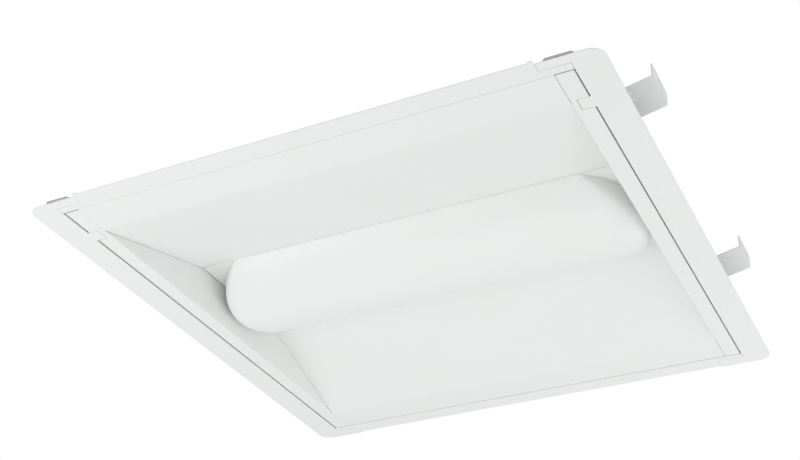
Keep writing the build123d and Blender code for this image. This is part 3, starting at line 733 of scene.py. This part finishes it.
class LedShape(NodeShape):
    """A surface-mount package with a round phosphor window, facing along each point's axis."""

    def __init__(self) -> None:
        """Build the tree: a block, and a low dome that is marked as the window."""
        super().__init__("led_packages")
        self.open({"Side": 3.0 * MM, "Height": 0.7 * MM}, ["Package", "Window"])
        self.grow(
            ("size", XYZ, {}, {0: "Side", 1: "Side", 2: "Height"}),
            ("cube", "GeometryNodeMeshCube", {}, {"Size": "size"}),
            ("half", MATH, {"operation": "MULTIPLY", 1: 0.5}, {0: "Height"}),
            ("middle", XYZ, {}, {2: "half"}),
            ("block", "GeometryNodeTransform", {}, {"Geometry": "cube", "Translation": "middle"}),
            ("radius", MATH, {"operation": "MULTIPLY", 1: 0.4}, {0: "Side"}),
            (
                "ball",
                "GeometryNodeMeshUVSphere",
                {"Segments": 16, "Rings": 8},
                {"Radius": "radius"},
            ),
            ("top", MATH, {"operation": "MULTIPLY", 1: 0.72}, {0: "Height"}),
            ("lift", XYZ, {}, {2: "top"}),
            (
                "dome",
                "GeometryNodeTransform",
                {"Scale": (1.0, 1.0, 0.17)},
                {"Geometry": "ball", "Translation": "lift"},
            ),
            (
                "marked",
                "GeometryNodeStoreNamedAttribute",
                {"data_type": "BOOLEAN", "domain": "FACE", "Name": "window", "Value": True},
                {"Geometry": "dome"},
            ),
            ("led", "GeometryNodeJoinGeometry", {}, {0: "block+marked"}),
        )
        self.set_on_points("led")
        self.grow(
            (
                "based",
                "GeometryNodeSetMaterial",
                {},
                {"Geometry": "real", "Material": "Package"},
            ),
            (
                "mark",
                "GeometryNodeInputNamedAttribute",
                {"data_type": "BOOLEAN", "Name": "window"},
                {},
            ),
            (
                "dressed",
                "GeometryNodeSetMaterial",
                {},
                {"Geometry": "based", "Selection": "mark", "Material": "Window"},
            ),
        )
        self.close("dressed")


class LensShape(NodeShape):
    """An arched bulge with a blunt round nose at each end, drawn down from a flat sheet.

    Each point of the sheet carries its end of the lens (-1, 1 or 0 between them), its turn
    round the nose from 0 to a right angle, and 1 where it is free to move or 0 where not.
    """

    def __init__(self) -> None:
        """Build the tree: the arc's depth across, then the nose's reach and drop."""
        super().__init__("opal_lens")
        self.open(
            {
                "Half Width": 83.5 * MM,
                "Sag": 40.0 * MM,
                "Nose": 45.5 * MM,
                "Bluntness": 0.5,
                "End Lean": 0.14,
            },
            ["Finish"],
        )
        self.grow(
            *(
                (
                    name,
                    "GeometryNodeInputNamedAttribute",
                    {"data_type": "FLOAT", "Name": name},
                    {},
                )
                for name in ("end", "turn", "free")
            ),
            ("place", "GeometryNodeInputPosition", {}, {}),
            ("at", "ShaderNodeSeparateXYZ", {}, {0: "place"}),
            ("half2", MATH, {"operation": "MULTIPLY"}, {0: "Half Width", 1: "Half Width"}),
            ("sag2", MATH, {"operation": "MULTIPLY"}, {0: "Sag", 1: "Sag"}),
            ("chord", MATH, {"operation": "ADD"}, {0: "half2", 1: "sag2"}),
            ("twice", MATH, {"operation": "MULTIPLY", 1: 2.0}, {0: "Sag"}),
            ("radius", MATH, {"operation": "DIVIDE"}, {0: "chord", 1: "twice"}),
            ("radius2", MATH, {"operation": "MULTIPLY"}, {0: "radius", 1: "radius"}),
            ("y2", MATH, {"operation": "MULTIPLY"}, {0: "at.Y", 1: "at.Y"}),
            ("rise2", MATH, {"operation": "SUBTRACT"}, {0: "radius2", 1: "y2"}),
            ("rise", MATH, {"operation": "SQRT"}, {0: "rise2"}),
            ("over", MATH, {"operation": "SUBTRACT"}, {0: "rise", 1: "radius"}),
            ("arc", MATH, {"operation": "ADD"}, {0: "over", 1: "Sag"}),
            ("bowl", MATH, {"operation": "MAXIMUM", 1: 0.0}, {0: "arc"}),
            ("depth", MATH, {"operation": "MULTIPLY"}, {0: "bowl", 1: "free"}),
            ("sine", MATH, {"operation": "SINE"}, {0: "turn"}),
            ("reach", MATH, {"operation": "POWER"}, {0: "sine", 1: "Bluntness"}),
            ("cosine", MATH, {"operation": "COSINE"}, {0: "turn"}),
            ("ahead", MATH, {"operation": "MAXIMUM", 1: 0.0}, {0: "cosine"}),
            ("drop", MATH, {"operation": "POWER"}, {0: "ahead", 1: "Bluntness"}),
            ("fall", MATH, {"operation": "MULTIPLY"}, {0: "depth", 1: "drop"}),
            ("share", MATH, {"operation": "DIVIDE"}, {0: "depth", 1: "Sag"}),
            ("span", MATH, {"operation": "MULTIPLY"}, {0: "Nose", 1: "share"}),
            ("slant", MATH, {"operation": "MULTIPLY"}, {0: "fall", 1: "End Lean"}),
            ("long", MATH, {"operation": "ADD"}, {0: "span", 1: "slant"}),
            ("push", MATH, {"operation": "MULTIPLY"}, {0: "long", 1: "reach"}),
            ("signed", MATH, {"operation": "MULTIPLY"}, {0: "push", 1: "end"}),
            ("x", MATH, {"operation": "ADD"}, {0: "at.X", 1: "signed"}),
            ("z", MATH, {"operation": "SUBTRACT"}, {0: "at.Z", 1: "fall"}),
            ("moved", XYZ, {}, {0: "x", 1: "at.Y", 2: "z"}),
            ("bent", "GeometryNodeSetPosition", {}, {"Geometry": "Geometry", "Position": "moved"}),
            ("skin", "GeometryNodeMergeByDistance", {"Distance": WELD}, {0: "bent"}),
            ("real", "GeometryNodeRealizeInstances", {}, {0: "skin"}),
            ("dressed", "GeometryNodeSetMaterial", {}, {"Geometry": "real", "Material": "Finish"}),
        )
        self.close("dressed")


# ---------------------------------------------------------------------------------------
# Sub-assemblies
# ---------------------------------------------------------------------------------------
@dataclass
class SubAssembly:
    """A group of pieces that are built and dressed together."""

    paint: Paintbox
    made: list[bpy.types.Object] = field(init=False, default_factory=list)

    def keep(self, piece: bpy.types.Object, body: str, finish: Finish, *nodes: str) -> None:
        """Dress a piece, put it on its body and let it stand for CAD nodes.

        Args:
            piece: The finished piece.
            body: The body that it rides on.
            finish: Its finish.
            nodes: The CAD nodes that it stands for.
        """
        self.paint.dress(piece, finish)
        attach(piece, body)
        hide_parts(*nodes)
        self.made.append(piece)

    def copy_node(self, node: str, body: str, finish: Finish, width: float) -> None:
        """Stand a merged copy with rounded edges in for a CAD node.

        Args:
            node: The CAD node.
            body: The body that it rides on.
            finish: Its finish.
            width: Width of the edge rounding, in metres.
        """
        piece = merged_copy(node, node + "_sheet")
        soften(piece, width)
        self.keep(piece, body, finish, node)

    def dress_node(self, node: str, finish: Finish) -> None:
        """Give a carried-over CAD node its finish.

        Args:
            node: The CAD node.
            finish: The finish.
        """
        self.paint.dress(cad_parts[node], finish)
        self.made.append(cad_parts[node])


@dataclass
class Flange(SubAssembly):
    """The flange plates that lap the ceiling, and the splices behind their joints."""

    edge_rounding: float = 0.22 * MM

    def build(self) -> None:
        """Build the trims and splices."""
        for side in Side:
            self.copy_node(f"side_trim_{side.label}", "housing", POWDER_COAT, self.edge_rounding)
        for edge in Edge:
            self.copy_node(f"edge_trim_{edge.label}", "housing", POWDER_COAT, self.edge_rounding)
            for side in Side:
                node = f"corner_splice_{edge.label}_{side.label}"
                self.copy_node(node, "housing", ZINC_SHEET, self.edge_rounding)


@dataclass
class Door(SubAssembly):
    """The drop-down door: reflectors, end pieces, lens and what holds the lens."""

    sheet: float = 1.0 * MM
    fold_radius: float = 0.3 * MM
    face_z: float = -1.2 * MM
    half_y: float = 301.5 * MM
    crease_y: float = 258.0 * MM
    lip_top: float = 6.8 * MM
    lens_edge_y: float = 84.0 * MM
    lens_edge_z: float = 45.0 * MM
    lens_lip_top: float = 50.0 * MM
    half_x: float = 267.7 * MM
    lens_half_y: float = 83.5 * MM
    lens_flange_y: float = 88.5 * MM
    lens_sag: float = 40.0 * MM
    lens_wall: float = 1.5 * MM
    lens_end_x: float = 260.85 * MM
    lens_nose: float = 45.5 * MM
    lens_bluntness: float = 0.5
    lens_end_lean: float = 0.14
    straight_steps: int = 12
    nose_steps: int = 24
    arc_steps: int = 40

    def build(self) -> None:
        """Build and dress the door's pieces."""
        for edge in Edge:
            self._reflector(edge)
        for side in Side:
            self.copy_node(f"door_end_{side.label}", "door", POWDER_COAT, 0.2 * MM)
            self.dress_node(f"catch_stud_{side.label}", SPRING_STEEL)
        self._lens()
        for edge in Edge:
            self.copy_node(f"lens_retainer_{edge.label}", "door", MILL_ALUMINIUM, 0.15 * MM)
        self.copy_node("door_corner_plates", "door", ZINC_SHEET, 0.2 * MM)

    def _reflector(self, edge: Edge) -> None:
        """Fold one reflector from its flat band to the lens.

        Args:
            edge: The edge that it runs along.
        """
        path = [
            (self.half_y, self.lip_top),
            (self.half_y, self.face_z),
            (self.crease_y, self.face_z),
            (self.lens_edge_y, self.lens_edge_z),
            (self.lens_edge_y, self.lens_lip_top),
        ]
        section = FoldedSheet(path[::-1], self.sheet, self.fold_radius)
        steps = self.straight_steps
        stations = [self.half_x * s / steps for s in range(-steps, steps + 1)]
        piece = section.extrude(
            f"reflector_{edge.label}_sheet",
            stations,
            lambda s, y, z: (s, y * edge.value, z),
        )
        soften(piece, 0.2 * MM, limit=FOLD_SHARP_DEGREES)
        self.keep(piece, "door", POWDER_COAT, f"reflector_{edge.label}")

    def _lens(self) -> None:
        """Form the lens as one sheet, from rim to bulge, and thicken it inwards."""
        piece = LensShape().run(
            "opal_lens",
            self._lens_sheet(),
            {
                "Half Width": self.lens_half_y,
                "Sag": self.lens_sag,
                "Nose": self.lens_nose,
                "Bluntness": self.lens_bluntness,
                "End Lean": self.lens_end_lean,
                "Finish": self.paint.material(OPAL),
            },
            FOLD_SHARP_DEGREES,
        )
        lowest = min(piece.data.polygons, key=lambda face: face.center.z)
        if lowest.normal.z > 0:
            piece.data.flip_normals()
        wall = piece.modifiers.new("wall", "SOLIDIFY")
        wall.thickness = self.lens_wall
        wall.offset = -1.0
        self.keep(piece, "door", OPAL, "lens")

    def _lens_sheet(self) -> bpy.types.Mesh:
        """Lay out the lens's flat sheet in rows across it, from the left end to the right.

        Returns:
            The sheet, with the end, turn and freedom of each point as attributes.
        """
        low, high = self.lens_edge_z, self.lens_lip_top
        straight_x = self.lens_end_x - self.lens_nose
        steps = self.straight_steps
        rows = [(straight_x * s / steps, low, 0.0, 0.0, 1.0) for s in range(1 - steps, steps)]
        for end in (-1, 1):
            turns = [math.pi / 2 * s / self.nose_steps for s in range(self.nose_steps + 1)]
            tip = [(end * straight_x, low, end, turn, 1.0) for turn in turns]
            tip += [(end * self.lens_end_x, z, end, 0.0, 0.0) for z in (low, high)]
            rows = rows + tip if end > 0 else tip[::-1] + rows
        arc = range(-self.arc_steps, self.arc_steps + 1)
        across = [self.lens_half_y * math.sin(math.pi / 2 * s / self.arc_steps) for s in arc]
        points: list[Point3] = []
        for x, z, *_ in rows:
            points += [(x, -self.lens_flange_y, high), (x, -self.lens_half_y, high)]
            points += [(x, y, z) for y in across]
            points += [(x, self.lens_half_y, high), (x, self.lens_flange_y, high)]
        width = len(points) // len(rows)
        faces = [
            (i, i + 1, i + 1 + width, i + width)
            for row in range(len(rows) - 1)
            for i in range(row * width, (row + 1) * width - 1)
        ]
        sheet = bpy.data.meshes.new("lens_sheet")
        sheet.from_pydata(points, [], faces)
        for column, name in enumerate(("end", "turn", "free"), start=2):
            values = sheet.attributes.new(name, "FLOAT", "POINT").data
            for index in range(len(points)):
                values[index].value = rows[index // width][column]
        for polygon in sheet.polygons:
            polygon.use_smooth = True
        return sheet


@dataclass
class Housing(SubAssembly):
    """The sheet housing above the door, with its hinge pins, clips and bracket seats."""

    def build(self) -> None:
        """Build and dress the housing's pieces."""
        self.copy_node("housing_pan", "housing", ZINC_SHEET, 0.35 * MM)
        self.copy_node("engine_housing", "housing", ZINC_SHEET, 0.35 * MM)
        for side in Side:
            self.copy_node(f"housing_end_{side.label}", "housing", ZINC_SHEET, 0.25 * MM)
            self.copy_node(f"hinge_pin_{side.label}", "housing", ZINC_PLATE, 0.2 * MM)
            self.copy_node(f"catch_clip_{side.label}", "housing", SPRING_STEEL, 0.1 * MM)
            for edge in Edge:
                node = f"bracket_seat_{edge.label}_{side.label}"
                self.copy_node(node, "housing", ZINC_SHEET, 0.25 * MM)


@dataclass
class LightSource(SubAssembly):
    """The two boards under the roof of the engine housing, with their LEDs."""

    led_count: int = 26
    led_pitch: float = 18.8 * MM
    led_side: float = 3.0 * MM
    led_height: float = 0.7 * MM

    def build(self) -> None:
        """Build and dress the boards and LEDs."""
        for edge in Edge:
            self.copy_node(f"led_board_{edge.label}", "housing", WHITE_RESIST, 0.15 * MM)
        self.copy_node("board_connectors", "housing", NYLON, 0.3 * MM)
        seats = []
        for node in ("leds_front", "leds_rear"):
            low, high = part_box(node)
            y = (low.y + high.y) / 2
            for index in range(self.led_count):
                x = self.led_pitch * (index - (self.led_count - 1) / 2)
                seats.append((Vector((x, y, high.z)), Vector((0, 0, -1))))
        piece = LedShape().run(
            "led_packages",
            seats_mesh("led_seats", seats),
            {
                "Side": self.led_side,
                "Height": self.led_height,
                "Package": self.paint.material(NYLON),
                "Window": self.paint.material(PHOSPHOR),
            },
            SHARP_DEGREES,
        )
        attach(piece, "housing")
        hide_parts("leds_front", "leds_rear")
        self.made.append(piece)


@dataclass
class WiringCompartment(SubAssembly):
    """The driver, its cover and the supply connection on top of the engine housing."""

    def build(self) -> None:
        """Build and dress the compartment's pieces."""
        self.copy_node("led_driver", "housing", DRIVER_PLASTIC, 0.8 * MM)
        self.copy_node("driver_cover", "housing", ZINC_SHEET, 0.35 * MM)
        self.copy_node("terminal_block", "housing", TERMINAL_PLASTIC, 0.4 * MM)
        self.copy_node("inlet_bushing", "housing", RUBBER, 0.4 * MM)
        self.copy_node("lead_grommet", "housing", RUBBER, 0.3 * MM)


@dataclass
class Brackets(SubAssembly):
    """The four slotted brackets that slide out over the ceiling structure."""

    def build(self) -> None:
        """Build and dress the brackets."""
        for side in Side:
            for edge in Edge:
                node = f"bracket_{edge.label}_{side.label}"
                self.copy_node(node, node, POWDER_COAT, 0.25 * MM)


@dataclass(frozen=True)
class ScrewGroup:
    """One CAD node of like screws, with the sizes that its heads and shanks have."""

    node: str
    shank_length: float
    head_radius: float = 3.4 * MM
    head_height: float = 2.2 * MM
    shank_radius: float = 1.7 * MM
    head_down: bool = False
    finish: Finish = ZINC_PLATE


@dataclass
class Screws(SubAssembly):
    """Every screw of the light, from one tree."""

    groups: tuple[ScrewGroup, ...] = (
        ScrewGroup("splice_screws", 2.4 * MM),
        ScrewGroup("trim_screws", 1.9 * MM),
        ScrewGroup("cover_screws", 4.0 * MM),
        ScrewGroup("driver_screws", 4.5 * MM),
        ScrewGroup("earth_screw", 3.0 * MM, finish=BRASS),
        ScrewGroup("board_screws", 2.6 * MM, 3.0 * MM, 1.8 * MM, 1.5 * MM, head_down=True),
    )
    side_group: ScrewGroup = ScrewGroup("seat_screws", 2.2 * MM)

    def build(self) -> None:
        """Build and dress each group of screws."""
        tree = ScrewShape()
        for group in self.groups:
            up = Vector((0, 0, -1.0 if group.head_down else 1.0))
            seats = []
            for low, high in self._solids(group.node):
                outer = low.z if group.head_down else high.z
                middle = (low + high) / 2
                level = outer - up.z * group.head_height
                seats.append((Vector((middle.x, middle.y, level)), up))
            self._set(tree, group, seats)
        seats = []
        for low, high in self._solids(self.side_group.node):
            sign = math.copysign(1.0, low.x)
            outer = high.x if sign > 0 else low.x
            middle = (low + high) / 2
            under_head = outer - sign * self.side_group.head_height
            seats.append((Vector((under_head, middle.y, middle.z)), Vector((sign, 0, 0))))
        self._set(tree, self.side_group, seats)
        self.dress_node("clamp_screws", ZINC_PLATE)

    def _solids(self, node: str) -> list[tuple[Vector, Vector]]:
        """Find the box of each separate solid in a CAD node.

        Args:
            node: The CAD node.

        Returns:
            Lowest and highest corner of each solid.
        """
        shape = bmesh.new()
        shape.from_mesh(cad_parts[node].data)
        bmesh.ops.remove_doubles(shape, verts=shape.verts, dist=WELD)
        left = set(shape.verts)
        boxes = []
        while left:
            stack = [left.pop()]
            found = list(stack)
            while stack:
                for link in stack.pop().link_edges:
                    for other in link.verts:
                        if other in left:
                            left.remove(other)
                            stack.append(other)
                            found.append(other)
            low = Vector([min(v.co[i] for v in found) for i in range(3)])
            high = Vector([max(v.co[i] for v in found) for i in range(3)])
            boxes.append((low, high))
        shape.free()
        return sorted(boxes, key=lambda pair: tuple(round(c, 5) for c in pair[0]))

    def _set(self, tree: ScrewShape, group: ScrewGroup, seats: list[tuple[Vector, Vector]]) -> None:
        """Set the screws of one group.

        Args:
            tree: The screw tree.
            group: The group's sizes and finish.
            seats: Places under the heads, with the axes.
        """
        piece = tree.run(
            group.node + "_pan_head",
            seats_mesh(group.node + "_seats", seats),
            {
                "Head Radius": group.head_radius,
                "Head Height": group.head_height,
                "Shank Radius": group.shank_radius,
                "Shank Length": group.shank_length,
                "Finish": self.paint.material(group.finish),
            },
            SHARP_DEGREES,
        )
        self.keep(piece, "housing", group.finish, group.node)


# ---------------------------------------------------------------------------------------
# Studio
# ---------------------------------------------------------------------------------------
@dataclass(frozen=True)
class Lamp:
    """A square area lamp that faces the light."""

    name: str
    place: tuple[float, float, float]
    size: float
    watts: float


@dataclass
class Studio:
    """Camera, floor, world and lamps. The camera looks up at the light from below."""

    camera_place: tuple[float, float, float] = (0.56378, -1.17071, -0.75381)
    camera_right: tuple[float, float, float] = (0.89608, 0.44319, 0.02507)
    camera_up: tuple[float, float, float] = (0.22036, -0.49315, 0.84157)
    lens_mm: float = 58.43
    floor_z: float = -1.6
    ambient: float = 0.73
    lamps: tuple[Lamp, ...] = (
        Lamp("front_left", (-0.75, -1.0, -0.7), 0.8, 4.5),
        Lamp("rear_right", (0.7, 1.0, -0.8), 0.8, 3.0),
        Lamp("right", (2.2, -0.4, -1.1), 1.4, 5.5),
        Lamp("below", (-0.2, 0.0, -1.5), 1.0, 2.5),
    )

    def build(self) -> None:
        """Build the studio."""
        self._camera()
        self._floor()
        self._world()
        for lamp in self.lamps:
            self._hang(lamp)
        bpy.context.scene.view_settings.view_transform = "Standard"

    def _camera(self) -> None:
        """Set the camera at the photograph's viewing angle."""
        data = bpy.data.cameras.new("camera")
        data.lens = self.lens_mm
        data.sensor_width = 36.0
        camera = bpy.data.objects.new("camera", data)
        bpy.context.scene.collection.objects.link(camera)
        right = Vector(self.camera_right).normalized()
        up = Vector(self.camera_up)
        up = (up - right * up.dot(right)).normalized()
        turn = Matrix((right, up, right.cross(up))).transposed().to_4x4()
        camera.matrix_world = Matrix.Translation(self.camera_place) @ turn
        bpy.context.scene.camera = camera

    def _floor(self) -> None:
        """Lay a plain pale floor below."""
        shape = bmesh.new()
        bmesh.ops.create_grid(shape, x_segments=2, y_segments=2, size=6.0)
        bmesh.ops.translate(shape, verts=shape.verts, vec=(0, 0, self.floor_z))
        floor = from_bmesh("studio_floor", shape)
        material = bpy.data.materials.new("studio_floor_paint")
        material.use_nodes = True
        tree = material.node_tree
        tree.nodes.clear()
        shader = add_node(
            tree,
            "ShaderNodeBsdfPrincipled",
            {"Base Color": srgb("#F4F4F3"), "Roughness": 0.9},
        ).outputs[0]
        add_node(tree, "ShaderNodeOutputMaterial", links={"Surface": shader})
        floor.data.materials.append(material)

    def _world(self) -> None:
        """Light all round, with white behind everything the camera and transmission rays see."""
        world = bpy.data.worlds.new("studio_world")
        world.use_nodes = True
        tree = world.node_tree
        tree.nodes.clear()
        path = add_node(tree, "ShaderNodeLightPath").outputs
        seen = add_node(
            tree,
            "ShaderNodeMath",
            {"operation": "MAXIMUM"},
            {0: path["Is Camera Ray"], 1: path["Is Transmission Ray"]},
        ).outputs[0]
        around = add_node(
            tree, "ShaderNodeBackground", {"Color": (1, 1, 1, 1), "Strength": self.ambient}
        ).outputs[0]
        behind = add_node(
            tree, "ShaderNodeBackground", {"Color": (1, 1, 1, 1), "Strength": 1.0}
        ).outputs[0]
        mixed = add_node(
            tree, "ShaderNodeMixShader", links={0: seen, 1: around, 2: behind}
        ).outputs[0]
        add_node(tree, "ShaderNodeOutputWorld", links={"Surface": mixed})
        bpy.context.scene.world = world

    def _hang(self, lamp: Lamp) -> None:
        """Hang one lamp, turned towards the origin.

        Args:
            lamp: The lamp.
        """
        data = bpy.data.lights.new(lamp.name, "AREA")
        data.shape = "SQUARE"
        data.size = lamp.size
        data.energy = lamp.watts
        light = bpy.data.objects.new(lamp.name, data)
        bpy.context.scene.collection.objects.link(light)
        light.location = lamp.place
        light.rotation_mode = "QUATERNION"
        light.rotation_quaternion = (-Vector(lamp.place)).to_track_quat("-Z", "Y")


def main() -> None:
    """Build every sub-assembly in order and report its pieces."""
    logging.basicConfig(level=logging.INFO, format="%(name)s: %(message)s")
    paint = Paintbox()
    for assembly in (
        Flange(paint),
        Door(paint),
        Housing(paint),
        LightSource(paint),
        WiringCompartment(paint),
        Brackets(paint),
        Screws(paint),
    ):
        assembly.build()
        for piece in assembly.made:
            faces = len(piece.data.polygons)
            LOG.info("%s: %s, %d faces", type(assembly).__name__, piece.name, faces)
    Studio().build()


if __name__ == "__main__":
    main()
